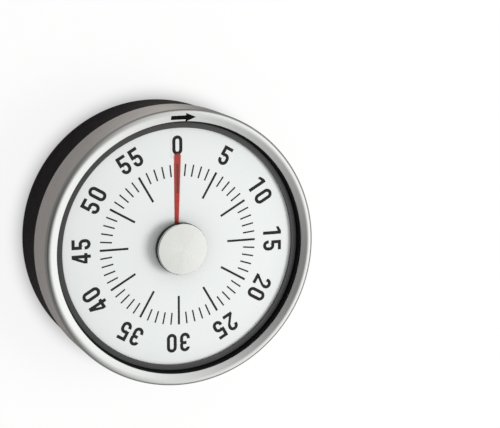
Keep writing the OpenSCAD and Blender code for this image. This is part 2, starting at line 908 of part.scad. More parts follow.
module escape_wheel() {
  root_r = 4;
  step = 360 / escape_teeth;
  start = balance_bearing + pallet_span + step / 2;
  color("#c2a04c") translate(concat(escape_pos, 10.2)) linear_extrude(0.7) difference() {
    polygon([
      for (i = [0 : escape_teeth - 1]) let (a = start + i * step) each [
        polar(root_r, a - 4), polar(escape_r, a - 1), polar(escape_r, a + 1), polar(root_r, a + 4)
      ]
    ]);
    circle(1 + seat_gap);
  }
}

module balance_staff() {
  color("#a9acb0") translate(balance_pos) {
    rod(back_plate_z + 0.2, front_plate_z + 0.8, pivot_r);
    rod(back_plate_z + plate_t + 0.2, front_plate_z - 0.2, 0.8);
  }
}

// Two arms whose narrow pallets stand just clear of the escape wheel's tips at mid-swing.
module pallet_anchor() {
  color("#9a9da1") translate(concat(balance_pos, 10.2)) linear_extrude(0.7) difference() {
    union() {
      circle(1.6);
      for (side = [0, 1]) rotate(balance_bearing + 180) mirror([0, side]) rotate(pallet_span) {
        translate([0, 0.9]) square([pallet_r + 0.3, 0.7]);
        translate([pallet_r - 0.3, 0]) square([0.6, 1]);
      }
    }
    circle(0.8 + seat_gap);
  }
}

module balance_wheel() {
  color("#c2a04c") translate(concat(balance_pos, 14.8)) linear_extrude(0.8) difference() {
    circle(6);
    difference() {
      circle(4.8);
      circle(1.8);
      translate([-5, -0.6]) square([10, 1.2]);
    }
    circle(0.8 + seat_gap);
  }
}

// ---- Hammer ----

module hammer_staff() {
  color("#a9acb0") translate(hammer_pos) {
    rod(back_plate_z + 0.2, front_plate_z + 0.8, pivot_r);
    rod(back_plate_z + plate_t + 0.2, front_plate_z - 0.15, 0.9);
  }
}

module hammer_lever() {
  reach = norm(hammer_pos) - 5.3;
  color("#9a9da1") translate(concat(hammer_pos, 16.35))
    rotate(atan2(-hammer_pos[1], -hammer_pos[0])) linear_extrude(0.48) difference() {
      union() {
        circle(1.8);
        polygon([[0, -0.9], [reach - 0.6, -0.5], [reach, 0], [reach - 0.6, 0.5], [0, 0.9]]);
      }
      circle(0.9 + seat_gap);
    }
}

module hammer_arm() {
  head_r = 1.5;
  reach = 12;
  color("#9a9da1") translate(concat(hammer_pos, 10.4)) rotate(86) {
    linear_extrude(0.8) difference() {
      union() {
        circle(1.9);
        translate([0, -0.6]) square([reach, 1.2]);
      }
      circle(0.9 + seat_gap);
    }
    translate([reach, 0, -0.4]) cylinder(r = head_r, h = 1.6);
  }
}

housing_shell();
inner_cover();
housing_screws();
holding_magnet();
magnet_keeper();
bell();
bell_nut();
back_plate();
front_plate();
plate_pillars();
pillar_screws();
cover_screws();
centre_post();
mainspring();
hammer_spring();
dial_hub();
dial_disc();
minute_marks();
dial_numerals();
knob_body();
knob_cap();
steel_ring();
ring_liner();
turntable();
turntable_screws();
direction_arrow();
main_arbor();
main_wheel();
ratchet_wheel();
bell_cam();
click_spring();
click_pawl();
countdown_film();
film_key();
second_arbor();
second_wheel();
third_arbor();
third_wheel();
escape_arbor();
escape_wheel();
balance_staff();
pallet_anchor();
balance_wheel();
hammer_staff();
hammer_lever();
hammer_arm();
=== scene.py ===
"""A visual countdown timer lying on its back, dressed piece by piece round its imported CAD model."""

import math

import bmesh
import bpy
from mathutils import Matrix, Vector


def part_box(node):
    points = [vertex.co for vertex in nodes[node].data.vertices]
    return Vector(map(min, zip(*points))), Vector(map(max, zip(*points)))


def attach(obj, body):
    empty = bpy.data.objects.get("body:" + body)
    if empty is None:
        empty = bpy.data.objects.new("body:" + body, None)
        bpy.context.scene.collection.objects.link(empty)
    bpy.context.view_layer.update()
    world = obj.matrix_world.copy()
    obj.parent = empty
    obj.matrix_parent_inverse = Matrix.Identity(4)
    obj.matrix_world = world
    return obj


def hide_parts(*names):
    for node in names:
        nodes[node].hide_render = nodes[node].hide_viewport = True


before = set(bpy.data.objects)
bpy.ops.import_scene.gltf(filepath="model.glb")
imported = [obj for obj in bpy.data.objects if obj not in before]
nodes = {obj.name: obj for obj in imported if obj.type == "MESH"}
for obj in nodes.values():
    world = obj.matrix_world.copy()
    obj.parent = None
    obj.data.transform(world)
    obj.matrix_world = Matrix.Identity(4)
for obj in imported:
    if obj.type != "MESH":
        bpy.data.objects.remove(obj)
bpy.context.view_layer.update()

scene = bpy.context.scene
scene.view_settings.view_transform = "Standard"

# ---------------------------------------------------------------------------
# Camera
# A long lens half a metre above the dial and a little to its upper left, with
# the 0 mark towards the top of the picture.
# ---------------------------------------------------------------------------
eye = Vector((-0.16247, 0.10658, 0.5131))
aim = Vector((0.02128, 0.00788, 0.025))
back = (eye - aim).normalized()
right = Vector((0, 1, 0)).cross(back).normalized()
camera = bpy.data.objects.new("camera", bpy.data.cameras.new("camera"))
camera.data.sensor_width = 36
camera.data.lens = 135.87
camera.matrix_world = (
    Matrix.Translation(eye) @ Matrix((right, back.cross(right), back)).transposed().to_4x4()
)
scene.collection.objects.link(camera)
scene.camera = camera

# ---------------------------------------------------------------------------
# Studio
# A white table, a wall of soft light to the right, a dimmer room to the left
# and one soft box, so that metal turns from pale to grey across the timer. Metal also mirrors a painted grey
# table with a paler painted patch.
# ---------------------------------------------------------------------------


class Value:
    """A socket that varies over a surface; arithmetic on it adds Math nodes."""

    def __init__(self, bench, socket):
        self.bench = bench
        self.socket = socket

    def maths(self, operation, *terms):
        """Adds a Math node fed with the given terms."""
        return self.bench.node("ShaderNodeMath", {"operation": operation}, dict(enumerate(terms)))

    def __add__(self, other):
        return self.maths("ADD", self, other)

    def __radd__(self, other):
        return self.maths("ADD", other, self)

    def __sub__(self, other):
        return self.maths("SUBTRACT", self, other)

    def __rsub__(self, other):
        return self.maths("SUBTRACT", other, self)

    def __mul__(self, other):
        return self.maths("MULTIPLY", self, other)

    def __rmul__(self, other):
        return self.maths("MULTIPLY", other, self)

    def __truediv__(self, other):
        return self.maths("DIVIDE", self, other)

    def __pow__(self, other):
        return self.maths("POWER", self, other)


class Bench:
    """The node tree of one finish or light."""

    def __init__(self, tree):
        self.tree = tree
        tree.nodes.clear()

    def node(self, kind, settings=None, inputs=None, output=0):
        """Adds a node: its settings first, then its sockets by name or number, as values or links."""
        made = self.tree.nodes.new(kind)
        for name, setting in (settings or {}).items():
            if name == "stops":
                ramp = made.color_ramp
                while len(ramp.elements) < len(setting):
                    ramp.elements.new(1)
                for element, (place, colour) in zip(ramp.elements, setting):
                    element.position = place
                    element.color = (*colour, 1)
            else:
                setattr(made, name, setting)
        for name, given in (inputs or {}).items():
            if isinstance(given, Value):
                self.tree.links.new(given.socket, made.inputs[name])
            else:
                made.inputs[name].default_value = given
        return Value(self, made.outputs[output]) if made.outputs else None

    def xyz(self, vector):
        """The three parts of a vector."""
        return [self.node("ShaderNodeSeparateXYZ", {}, {0: vector}, i) for i in range(3)]

    def vector(self, x, y, z):
        return self.node("ShaderNodeCombineXYZ", {}, {0: x, 1: y, 2: z})

    def mixed(self, share, colour_a, colour_b):
        """A colour between two, by a share from 0 to 1."""
        sockets = {0: share, 6: (*colour_a, 1), 7: (*colour_b, 1)}
        return self.node("ShaderNodeMix", {"data_type": "RGBA"}, sockets, 2)


fill = 0.62
wall_middle = 0.72
wall_slope = 0.95
wall_bright = 1.4
wall_dark = 0.09
wall_foot = 0.24
wall_foot_heights = (0.5, 0.15)
far_foot = 0.5
far_foot_heights = (0.1, 0.4)
viewer_way = (-0.31, 0.15, 0.94)
viewer_shade = 0.4
viewer_spread = (0.88, 0.98)
lamp_watts = 0.66
lamp_colour = (1, 0.99, 0.965)
lamp_place = Vector((0.2, -0.03, 0.3))
lamp_size = (0.16, 0.16)
lamp_aim = Vector((0, 0, 0.02))

world = bpy.data.worlds.new("room")
world.use_nodes = True
scene.world = world
room = Bench(world.node_tree)
ray = {
    name: room.node("ShaderNodeLightPath", {}, {}, name)
    for name in ("Is Camera Ray", "Is Glossy Ray", "Is Transmission Ray")
}
way = room.node("ShaderNodeTexCoord", {}, {}, "Generated")
way_x, _, way_z = room.xyz(way)


def between(value, low, high):
    """Rises softly from 0 to 1 while a value goes from low to high."""
    sockets = {"Value": value, "From Min": low, "From Max": high}
    return value.bench.node("ShaderNodeMapRange", {"interpolation_type": "SMOOTHSTEP"}, sockets)


towards = room.node("ShaderNodeVectorMath", {"operation": "DOT_PRODUCT"}, {0: way, 1: viewer_way}, "Value")
near_foot = between(way_z, *wall_foot_heights)
wall = (wall_middle + wall_slope * way_x) * (1 - viewer_shade * between(towards, *viewer_spread))
wall = wall.maths("MAXIMUM", wall, wall_dark + (wall_foot - wall_dark) * near_foot)
wall_top = far_foot + (wall_bright - far_foot) * between(way_z, *far_foot_heights)
wall = wall.maths("MINIMUM", wall, wall_top)
in_metal = ray["Is Glossy Ray"].maths("MAXIMUM", ray["Is Glossy Ray"], ray["Is Transmission Ray"])
unseen = fill + in_metal * (wall - fill)
strength = unseen + ray["Is Camera Ray"] * (1 - unseen)
background = room.node("ShaderNodeBackground", {}, {"Color": (1, 1, 1, 1), "Strength": strength})
room.node("ShaderNodeOutputWorld", {}, {"Surface": background})

lamp_data = bpy.data.lights.new("soft_box", "AREA")
lamp_data.shape = "RECTANGLE"
lamp_data.size, lamp_data.size_y = lamp_size
lamp_data.energy = lamp_watts
lamp_data.color = lamp_colour
lamp = bpy.data.objects.new("soft_box", lamp_data)
lamp.visible_glossy = False
lamp.location = lamp_place
lamp.rotation_mode = "QUATERNION"
lamp.rotation_quaternion = (lamp_place - lamp_aim).to_track_quat("Z", "Y")
scene.collection.objects.link(lamp)

table_half = 1.5
table_mesh = bmesh.new()
bmesh.ops.create_grid(table_mesh, x_segments=1, y_segments=1, size=table_half)
table = bpy.data.objects.new("table", bpy.data.meshes.new("table"))
table_mesh.to_mesh(table.data)
table_mesh.free()
scene.collection.objects.link(table)
table_finish = bpy.data.materials.new("table_white")
table_finish.use_nodes = True
table.data.materials.append(table_finish)
laminate = Bench(table_finish.node_tree)
# Seen straight, the table is a white glow that darkens where the timer touches it, a painted contact shadow,
# with a little real shadow from its lit share. Metal and plastic see it in painted grey, a painted
# reflection, with a paler painted patch close to the timer on the viewer's side.
# Painted reflection: grey far off and paler near the timer on the viewer's side, only for what metal and
# plastic mirror.
painted_reflection_grey = (0.26, 0.255, 0.25)
painted_reflection_pale = (0.67, 0.62, 0.605)
pale_reflection_way = (-0.88, 0.47)
pale_reflection_edge = 0.02
pale_reflection_end = (0.075, 0.045)
lit_seen = 0.14
# Painted contact shadow: how far it reaches, how dark it is and how fast it fades.
painted_contact_shadow_reach = 0.0055
painted_contact_shadow_depth = 1.2
painted_contact_shadow_power = 1.5
seen = laminate.node("ShaderNodeLightPath", {}, {}, "Is Camera Ray")
spot = laminate.node("ShaderNodeTexCoord", {}, {}, "Object")
spot_x, spot_y, _ = laminate.xyz(spot)
towards_viewer = spot_x * pale_reflection_way[0] + spot_y * pale_reflection_way[1]
spread = (spot_x * spot_x + spot_y * spot_y) ** 0.5
# Painted reflection: where the pale patch lies, close to the timer on the viewer's side.
pale_reflection_share = between(towards_viewer, 0, pale_reflection_edge) * between(spread, *pale_reflection_end)
shade = laminate.mixed(pale_reflection_share, painted_reflection_grey, painted_reflection_pale)
unseen_coat = laminate.node("ShaderNodeBsdfDiffuse", {}, {"Color": shade})
seen_coat = laminate.node("ShaderNodeBsdfDiffuse", {}, {"Color": (1, 1, 1, 1)})
lit = laminate.node("ShaderNodeMixShader", {}, {0: seen, 1: unseen_coat, 2: seen_coat})
# Painted contact shadow: the white glow is dimmed by ambient occlusion near the timer.
contact_occlusion = 1 - laminate.node("ShaderNodeAmbientOcclusion", {}, {"Distance": painted_contact_shadow_reach}, "AO")
shadow_painted_white_strength = 1 - painted_contact_shadow_depth * contact_occlusion ** painted_contact_shadow_power
white = laminate.node("ShaderNodeEmission", {}, {"Color": (1, 1, 1, 1), "Strength": shadow_painted_white_strength})
surface = laminate.node("ShaderNodeMixShader", {}, {0: seen * (1 - lit_seen), 1: lit, 2: white})
laminate.node("ShaderNodeOutputMaterial", {}, {"Surface": surface})

# ---------------------------------------------------------------------------
# Black cup of the housing
# A deep cup moulded in black ABS with a fine matt texture. Three posts inside
# take the screws from behind, and a round pocket in the back holds the magnet.
# All pieces are drawn in millimetres and scaled to metres when they are placed.
# ---------------------------------------------------------------------------
mm = 0.001
turn_steps = 240
small_hole_steps = 48
crease_angle = 32


def extent(name):
    """Outer radius, lowest and highest point of a round CAD node, in millimetres."""
    low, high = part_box(name)
    return high.x / mm, low.z / mm, high.z / mm


def rounded(corners, bits=6, hold=0.02):
    """Outline of corners (radius, height, rounding), each turned to an arc of so many bits.
    A point held close to each end of an arc keeps the flats beside it flat."""
    outline = []
    for index, (radius, height, rounding) in enumerate(corners):
        here = Vector((radius, height))
        before = (Vector(corners[index - 1][:2]) - here).normalized()
        after = (Vector(corners[(index + 1) % len(corners)][:2]) - here).normalized()
        if not rounding:
            outline.append(here)
            continue
        half = before.angle(after) / 2
        centre = here + (before + after).normalized() * rounding / math.sin(half)
        start = here + before * rounding / math.tan(half)
        end = here + after * rounding / math.tan(half)
        sweep = math.copysign(math.pi - 2 * half, after.cross(before))
        outline.append(start + before * hold)
        for bit in range(bits + 1):
            spoke = start - centre
            spoke.rotate(Matrix.Rotation(sweep * bit / bits, 2))
            outline.append(centre + spoke)
        outline.append(end + after * hold)
    return outline


def turn(mesh, outline, closed=True, place=(0, 0), steps=turn_steps):
    """Turns an outline into a round shape about the upright axis through a place."""
    points = [mesh.verts.new((place[0] + p[0], place[1], p[1])) for p in outline]
    pairs = list(zip(points, points[1:])) + ([(points[-1], points[0])] if closed else [])
    edges = [mesh.edges.new(pair) for pair in pairs]
    bmesh.ops.spin(
        mesh, geom=points + edges, cent=(*place, 0), axis=(0, 0, 1),
        angle=2 * math.pi, steps=steps, use_merge=True,
    )


def floor_in(mesh, height, facing):
    """Fills the flat between the open edges that lie at one height."""
    rim = [e for e in mesh.edges if e.is_boundary and all(abs(v.co.z - height) < 1e-4 for v in e.verts)]
    bmesh.ops.triangle_fill(mesh, use_beauty=True, edges=rim, normal=(0, 0, facing))


def placed(mesh, name, finish, body, *replaced, slot):
    """Closes a drawn mesh, makes it an object of real size, hangs it on its body and hides the CAD nodes it
    replaces.
    """
    bmesh.ops.remove_doubles(mesh, verts=mesh.verts, dist=1e-4)
    bmesh.ops.dissolve_degenerate(mesh, edges=mesh.edges, dist=1e-5)
    bmesh.ops.recalc_face_normals(mesh, faces=mesh.faces)
    bmesh.ops.scale(mesh, vec=(mm, mm, mm), verts=mesh.verts)
    piece = bpy.data.objects.new(name, bpy.data.meshes.new(name))
    mesh.to_mesh(piece.data)
    mesh.free()
    piece.data.shade_smooth()
    piece.data.set_sharp_from_angle(angle=math.radians(crease_angle))
    piece.data.materials.append(finish.material)
    scene.collection.objects.link(piece)
    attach(piece, body)
    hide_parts(*replaced)
    return piece


class Finish(Bench):
    """The finish of one kind of surface."""

    def __init__(self, name):
        self.material = bpy.data.materials.new(name)
        self.material.use_nodes = True
        super().__init__(self.material.node_tree)
        object_place = self.node("ShaderNodeTexCoord", {}, {}, "Object")
        self.place = self.node("ShaderNodeVectorMath", {"operation": "SCALE"}, {0: object_place, 3: 1 / mm})

    def noise(self, scale, detail=2, place=None):
        """Cloudy noise of so many grains to the millimetre."""
        sockets = {"Vector": place or self.place, "Scale": scale, "Detail": detail}
        return self.node("ShaderNodeTexNoise", {}, sockets)

    def bump(self, height, depth):
        """A surface that rises and falls by up to a depth in millimetres."""
        return self.node("ShaderNodeBump", {}, {"Height": height, "Distance": depth * mm, "Strength": 1})

    def coat(self, **sockets):
        """The main shader, with its constants and links."""
        inputs = {name.replace("_", " "): given for name, given in sockets.items()}
        return self.node("ShaderNodeBsdfPrincipled", {}, inputs)

    def show(self, shader):
        """Leads a shader to the output of the material."""
        self.node("ShaderNodeOutputMaterial", {}, {"Surface": shader})
        return self


def moulded(name, colour, rough, grain_depth=0.012, gloss=0.3):
    """Moulded plastic: a fine grain, with faint clouds of gloss left by handling."""
    plastic = Finish(name)
    grain = plastic.noise(7, 3)
    cloud = plastic.noise(0.25, 2)
    tint = plastic.mixed(cloud, [0.85 * c for c in colour], [1.15 * c for c in colour])
    sheen = rough - 0.05 + 0.1 * cloud
    return plastic.show(plastic.coat(
        Base_Color=tint, Roughness=sheen, Specular_IOR_Level=gloss, Normal=plastic.bump(grain, grain_depth)
    ))


housing_black = moulded("housing_black", (0.003, 0.0023, 0.0028), 0.55, 0.02, gloss=0.1)

housing_r, _, housing_top = extent("housing_shell")
back_wall = 2
mouth_r = housing_r - 1.9
bore_r = housing_r - 3.5
ledge_z = 9
pocket_r = 11
pocket_top = 3.8
pocket_wall = 1.5
pocket_roof = 0.6
post_places = [Matrix.Rotation(math.radians(a), 2) @ Vector((32.3, 0)) for a in (30, 150, 270)]
post_r = 1.9
post_top = 8
sink_r = 1.75
sink_top = 1.6
screw_bore_r = 1.05
edge_break = 0.12

cup = bmesh.new()
cup_outline = rounded([
    (housing_r, 0, 0.8), (housing_r, housing_top, 0.3), (mouth_r, housing_top, edge_break),
    (mouth_r, ledge_z, 0.2), (bore_r, ledge_z, 0.3), (bore_r, back_wall, 0.6),
    (0, back_wall, 0), (0, 0, 0),
])[:-2]
turn(cup, cup_outline, closed=False)
for place in post_places:
    turn(cup, rounded([
        (0, 0, 0), (sink_r, 0, edge_break), (sink_r, sink_top, 0), (screw_bore_r, sink_top, 0),
        (screw_bore_r, post_top, 0), (post_r, post_top, edge_break), (post_r, back_wall, 0.2),
        (2 * post_r, back_wall, 0),
    ], 4)[1:-1], closed=False, place=place, steps=small_hole_steps)
pocket_boss_r = pocket_r + pocket_wall
turn(cup, rounded([
    (pocket_boss_r + 1, 0, 0), (pocket_r, 0, 0.2), (pocket_r, pocket_top, 0), (0, pocket_top, 0),
], 4)[1:], closed=False)
turn(cup, rounded([
    (0, pocket_top + pocket_roof, 0), (pocket_boss_r, pocket_top + pocket_roof, 0.2),
    (pocket_boss_r, back_wall, 0.2), (pocket_boss_r + 1, back_wall, 0),
], 4)[:-1], closed=False)
bmesh.ops.remove_doubles(cup, verts=cup.verts, dist=1e-4)
floor_in(cup, 0, -1)
floor_in(cup, back_wall, 1)
placed(cup, "black_cup", housing_black, "root", "housing_shell", slot="housing_black")

# ---------------------------------------------------------------------------
# Magnet and its keeper
# A pressed and sintered ferrite disc, ground flat on its faces, lies in the
# pocket with a plated steel keeper behind it that doubles its pull.
# ---------------------------------------------------------------------------


def dress(finish, *names):
    """Gives CAD nodes their finish."""
    for name in names:
        for slot in nodes[name].material_slots:
            slot.material = finish.material


def bright(name, colour, rough, scratch=(6, 6, 6)):
    """Bare or plated metal: fine scratches along one way, tarnish in faint clouds."""
    metal = Finish(name)
    drawn_out = metal.node("ShaderNodeVectorMath", {"operation": "MULTIPLY"}, {0: metal.place, 1: scratch})
    lines = metal.noise(1, 4, drawn_out)
    cloud = metal.noise(0.2, 3)
    tint = metal.mixed(0.4 * lines + 0.6 * cloud, [0.82 * c for c in colour], [1.1 * c for c in colour])
    return metal.show(metal.coat(
        Base_Color=tint, Metallic=1, Roughness=rough - 0.06 + 0.12 * lines,
        Normal=metal.bump(lines, 0.002),
    ))


ferrite = Finish("ferrite")
ferrite_tint = ferrite.mixed(ferrite.noise(12, 3), (0.03, 0.03, 0.031), (0.075, 0.075, 0.08))
ferrite.show(ferrite.coat(
    Base_Color=ferrite_tint, Metallic=0.35, Roughness=0.42 + 0.2 * ferrite.noise(3),
    Normal=ferrite.bump(ferrite.noise(9, 4), 0.02),
))
dress(ferrite, "holding_magnet")
plated_steel = bright("plated_steel", (0.55, 0.55, 0.56), 0.3)
dress(plated_steel, "magnet_keeper")

# ---------------------------------------------------------------------------
# Bell, post and plates of the movement
# The nickel-plated bell is clamped with a nut at the foot of the steel post.
# Two stamped brass plates, kept apart by three turned pillars, hold the train.
# ---------------------------------------------------------------------------
dress(bright("bell_nickel", (0.6, 0.6, 0.61), 0.16), "bell")
ground_steel = bright("ground_steel", (0.5, 0.5, 0.52), 0.28, scratch=(3, 3, 30))
dress(ground_steel, "bell_nut", "centre_post")
stamped_brass = bright("stamped_brass", (0.6, 0.45, 0.18), 0.32, scratch=(0.4, 14, 14))
dress(stamped_brass, "back_plate", "front_plate", "plate_pillars")

# ---------------------------------------------------------------------------
# Spring and wheel train
# A blued mainspring drives brass wheels cut on steel arbors, down to the
# escape wheel, whose pallets rock the balance. Small parts are bare steel.
# ---------------------------------------------------------------------------
blued_steel = bright("blued_steel", (0.28, 0.3, 0.34), 0.26, scratch=(2, 2, 24))
dress(blued_steel, "mainspring", "hammer_spring", "click_spring")
cut_brass = bright("cut_brass", (0.66, 0.48, 0.16), 0.26, scratch=(9, 9, 9))
dress(cut_brass, "main_wheel", "second_wheel", "third_wheel", "escape_wheel", "balance_wheel")
dress(ground_steel, "main_arbor", "second_arbor", "third_arbor", "escape_arbor", "balance_staff")
dress(ground_steel, "ratchet_wheel", "click_pawl", "pallet_anchor", "bell_cam")
dress(ground_steel, "hammer_staff", "hammer_lever", "hammer_arm")

# ---------------------------------------------------------------------------
# Inner cover and the screws
# A black moulded lid closes the cup under the turning parts. Nickel-plated
# cross-head screws hold the plates, the lid and the cup together.
# ---------------------------------------------------------------------------
dress(moulded("cover_black", (0.02, 0.02, 0.022), 0.5), "inner_cover")
dress(bright("screw_nickel", (0.55, 0.55, 0.56), 0.24), "pillar_screws", "cover_screws", "housing_screws",
      "turntable_screws")

# ---------------------------------------------------------------------------
# Turntable
# A dark grey moulded disc pressed on the hollow arbor, with round windows to
# save weight. Its raised rim is the dark band that shows round the dial.
# ---------------------------------------------------------------------------
turntable_grey = moulded("turntable_grey", (0.066, 0.065, 0.067), 0.45, 0.004, gloss=0.35)

disc_r, disc_bottom, rim_top = extent("turntable")
dial_r, _, dial_high = extent("dial_disc")
disc_t = 1.1
disc_top = disc_bottom + disc_t
rim_inset = 1.52
rim_outer_r = disc_r - rim_inset
rim_wall_r = dial_r + 0.25
lip_r = dial_r - 0.15
lip_bottom = dial_high + 0.2
rim_fall = 0.2
arbor_r = 2.62
window_r = 6
window_ring_r = 22
screw_hole_r = 0.45
screw_hole_ring_r = disc_r - 0.85
slot_size = (0.9, 6.2)
slot_ring_r = 12
slot_bearing = -371


def around(radius, bearing):
    """Place at a bearing clockwise from the 0 mark, in degrees."""
    return radius * math.sin(math.radians(bearing)), radius * math.cos(math.radians(bearing))


disc = bmesh.new()
turn(disc, rounded([
    (disc_r - 1, disc_bottom, 0), (disc_r, disc_bottom, 0.15), (disc_r, disc_top, 0.15),
    (disc_r - 1, disc_top, 0),
], 3)[1:-1], closed=False)
turn(disc, rounded([
    (rim_outer_r + 1, disc_top, 0), (rim_outer_r, disc_top, 0.1), (rim_outer_r, rim_top - rim_fall, 0.15),
    (lip_r, rim_top, 0.12), (lip_r, lip_bottom, 0.08), (rim_wall_r, lip_bottom, 0.08),
    (rim_wall_r, disc_top, 0.1), (rim_wall_r - 1, disc_top, 0),
], 5)[1:-1], closed=False)
holes = [(arbor_r, (0, 0))]
holes += [(window_r, around(window_ring_r, 60 * k)) for k in range(1, 6)]
holes += [(screw_hole_r, around(screw_hole_ring_r, 45 + 90 * k)) for k in range(4)]
for hole_r, place in holes:
    hole_wall = [Vector((hole_r, disc_bottom)), Vector((hole_r, disc_top))]
    turn(disc, hole_wall, closed=False, place=place, steps=small_hole_steps)
slot_matrix = (
    Matrix.Translation((0, 0, disc_bottom)) @ Matrix.Rotation(-math.radians(slot_bearing), 4, "Z")
    @ Matrix.Translation((0, slot_ring_r, 0)) @ Matrix.Diagonal((*slot_size, 1, 1))
)
slot_rim = bmesh.ops.create_grid(disc, x_segments=1, y_segments=1, size=0.5, matrix=slot_matrix)["verts"]
slot_face = slot_rim[0].link_faces[0]
slot_edges = list(slot_face.edges)
bmesh.ops.delete(disc, geom=[slot_face], context="FACES_ONLY")
raised = bmesh.ops.extrude_edge_only(disc, edges=slot_edges)["geom"]
raised_verts = [part for part in raised if isinstance(part, bmesh.types.BMVert)]
bmesh.ops.translate(disc, vec=(0, 0, disc_t), verts=raised_verts)
bmesh.ops.remove_doubles(disc, verts=disc.verts, dist=1e-4)
floor_in(disc, disc_bottom, -1)
floor_in(disc, disc_top, 1)
placed(disc, "grey_turntable", turntable_grey, "ring", "turntable", slot="turntable_grey")

# ---------------------------------------------------------------------------
# Ring liner
# A black moulded hoop that stiffens the steel ring, is screwed to the turntable
# and forms the dark wall between the steel face and the dial.
# ---------------------------------------------------------------------------
liner_black = moulded("liner_black", (0.004, 0.0035, 0.0038), 0.5, gloss=0.15)

ring_r, ring_bottom, ring_top = extent("steel_ring")
sheet = 0.5
roll_r = 1.4
face_inner_r = 35.6
face_inner_top = ring_top - 0.7
liner_r, liner_bottom, liner_top = extent("ring_liner")
liner_shoulder = ring_top - roll_r - 0.3
liner_low_r = face_inner_r - 0.45
liner_wall_r = disc_r + 0.4
seat_r = disc_r + 0.05
seat_top = disc_top + 0.02
seat_bottom = disc_bottom - 0.6

liner = bmesh.new()
turn(liner, rounded([
    (liner_r, liner_bottom, 0.2), (liner_r, liner_shoulder, 0.1), (liner_r - 0.5, liner_shoulder + 0.2, 0.1),
    (face_inner_r - 0.15, liner_top, 0.12), (liner_low_r, rim_top, 0), (liner_low_r, seat_top, 0.1),
    (seat_r, seat_top, 0), (seat_r, seat_bottom, 0.1), (liner_wall_r, seat_bottom, 0),
    (liner_wall_r, liner_bottom, 0.2),
], 4))
placed(liner, "black_liner", liner_black, "ring", "ring_liner", slot="liner_black")

# ---------------------------------------------------------------------------
# Steel ring
# The ring that is turned to set the time: half a millimetre of stainless steel
# pressed to a dished face with a rolled outer edge, brushed round and round.
# ---------------------------------------------------------------------------
brushed_steel = Finish("brushed_steel")
steel_x, steel_y, steel_z = brushed_steel.xyz(brushed_steel.place)
steel_radius = (steel_x * steel_x + steel_y * steel_y) ** 0.5
hair_place = brushed_steel.vector(
    steel_x / steel_radius * 1.6, steel_y / steel_radius * 1.6, (steel_radius + steel_z) * 7
)
hairs = brushed_steel.noise(1, 5, hair_place)
wide_place = brushed_steel.vector(
    steel_x / steel_radius * 2.5, steel_y / steel_radius * 2.5, (steel_radius + steel_z) * 0.6
)
clouds = brushed_steel.noise(1, 2, wide_place)
specks = brushed_steel.noise(2.2, 3)
steel_share = 0.45 * hairs + 0.3 * clouds + 0.25 * specks
steel_tint = brushed_steel.mixed(steel_share, (0.58, 0.588, 0.571), (0.8, 0.812, 0.789))
brushed_steel.show(brushed_steel.coat(
    Base_Color=steel_tint, Metallic=1, Roughness=0.22 + 0.1 * hairs + 0.06 * specks,
    Anisotropic=0.6, Normal=brushed_steel.bump(0.75 * hairs + 0.25 * specks, 0.002),
))

crest = Vector((ring_r - roll_r, ring_top - roll_r))


def face_height(start, rounding, radius):
    """Height at a radius of the line that rises from a start and grazes the rolled edge."""
    run = crest - start
    slope = math.atan2(run.y, run.x) + math.asin(rounding / run.length)
    return start.y + (radius - start.x) * math.tan(slope)


face_start = Vector((face_inner_r, face_inner_top))
under_start = face_start - Vector((0, sheet))
inner_r = ring_r - sheet
steel = bmesh.new()
turn(steel, rounded([
    (ring_r, ring_bottom, 0.12), (ring_r, face_height(face_start, roll_r, ring_r), roll_r),
    (*face_start, 0.12), (*under_start, 0.12),
    (inner_r, face_height(under_start, roll_r - sheet, inner_r), roll_r - sheet),
    (inner_r, ring_bottom, 0.12),
], 14), steps=360)
placed(steel, "brushed_ring", brushed_steel, "ring", "steel_ring", slot="ring_steel")

# ---------------------------------------------------------------------------
# Arrow on the ring
# Pad-printed in black ink on the brushed face and a little past its crest, it
# shows which way to wind.
# ---------------------------------------------------------------------------


def printed(name, colour, gloss=0.2):
    """A thin coat of ink, a little uneven."""
    ink = Finish(name)
    tint = ink.mixed(ink.noise(5, 3), [0.8 * c for c in colour], [1.2 * c for c in colour])
    return ink.show(ink.coat(
        Base_Color=tint, Roughness=0.5 + 0.15 * ink.noise(2), Specular_IOR_Level=gloss,
        Normal=ink.bump(ink.noise(9), 0.003),
    ))


dress(printed("arrow_ink", (0.003, 0.003, 0.0035), gloss=0.06), "direction_arrow")

# ---------------------------------------------------------------------------
# Dial
# A satin white sheet cut along one radius and set as one turn of a screw, so
# that the film can slide out of the cut on it and back in under it.
# ---------------------------------------------------------------------------
dial_white = Finish("dial_white")
dial_cloud = dial_white.noise(0.08, 2)
dial_tint = dial_white.mixed(dial_cloud, (0.78, 0.815, 0.81), (0.82, 0.845, 0.84))
dial_white.show(dial_white.coat(
    Base_Color=dial_tint, Roughness=0.42 + 0.06 * dial_white.noise(2, 3),
    Normal=dial_white.bump(dial_white.noise(5, 3), 0.0015),
))

dial_t = 0.25
lead = 0.6
dial_z = 25
hub_r = 3.9
slit_x = 1.15
rim_cut_x = 2.2
slit_end_r = 24.8
slit_gap = 0.25
cut_start_r = slit_end_r + 1.1
dial_steps = 300


def face_z(x, y):
    """Height of the screw surface above a place, from half a turn before the 0 mark to half after."""
    return dial_z - lead / 2 + lead * math.atan2(x, y) / (2 * math.pi)


def sheet_row(mesh, points, lift=0.0):
    """A row of points on the screw surface, joined by edges."""
    row = [mesh.verts.new((x, y, face_z(x, y) + lift)) for x, y in points]
    return row + [mesh.edges.new(pair) for pair in zip(row, row[1:])]


def wind(mesh, row, degrees, steps):
    """Sweeps a row along the screw surface, clockwise when the angle is positive."""
    bmesh.ops.spin(
        mesh, geom=row, cent=(0, 0, 0), axis=(0, 0, -1), angle=math.radians(degrees), steps=steps,
        dvec=(0, 0, lead * degrees / 360 / steps), use_merge=False,
    )


